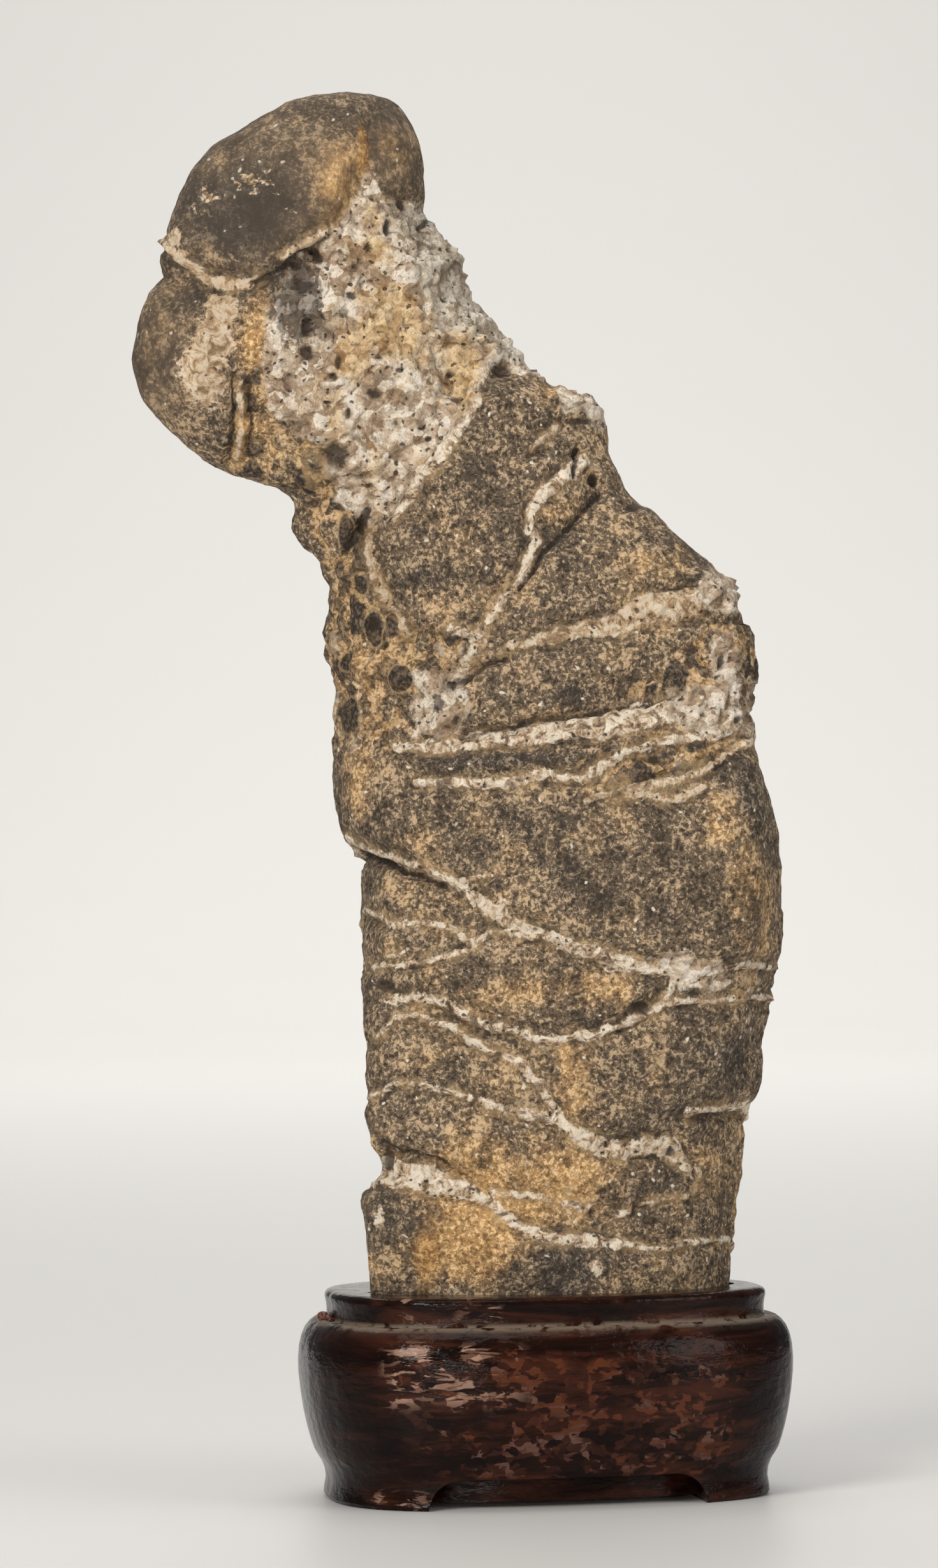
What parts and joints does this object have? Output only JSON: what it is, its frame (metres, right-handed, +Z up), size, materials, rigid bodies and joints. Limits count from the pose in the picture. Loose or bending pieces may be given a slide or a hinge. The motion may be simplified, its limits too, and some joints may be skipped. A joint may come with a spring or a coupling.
{
  "type": "viewing stone on stand",
  "caption": "Upright viewing stone of grey-brown sandstone bound by pale quartz seams, leaning left to a rounded head, set in the socket of an oval carved hardwood stand with arched feet.",
  "frame": {"origin": "on the surface the object stands on, under the middle of the object's bounding box (the stand itself is centred 13.1 mm to the right of it, because the stone leans left)", "axes": "+Z up, X along the stand's long side with the stone's head towards -X, -Y towards the viewer (the front)"},
  "size_m": [0.1051, 0.0616, 0.2263],
  "materials": {
    "sandstone": "matt grey-brown sandstone with pale quartz seams",
    "rosewood": "dark red-brown hardwood, rubbed to an uneven gloss"
  },
  "bodies": {
    "root": {"stone": "sandstone", "stand": "rosewood"}
  },
  "joints": []
}
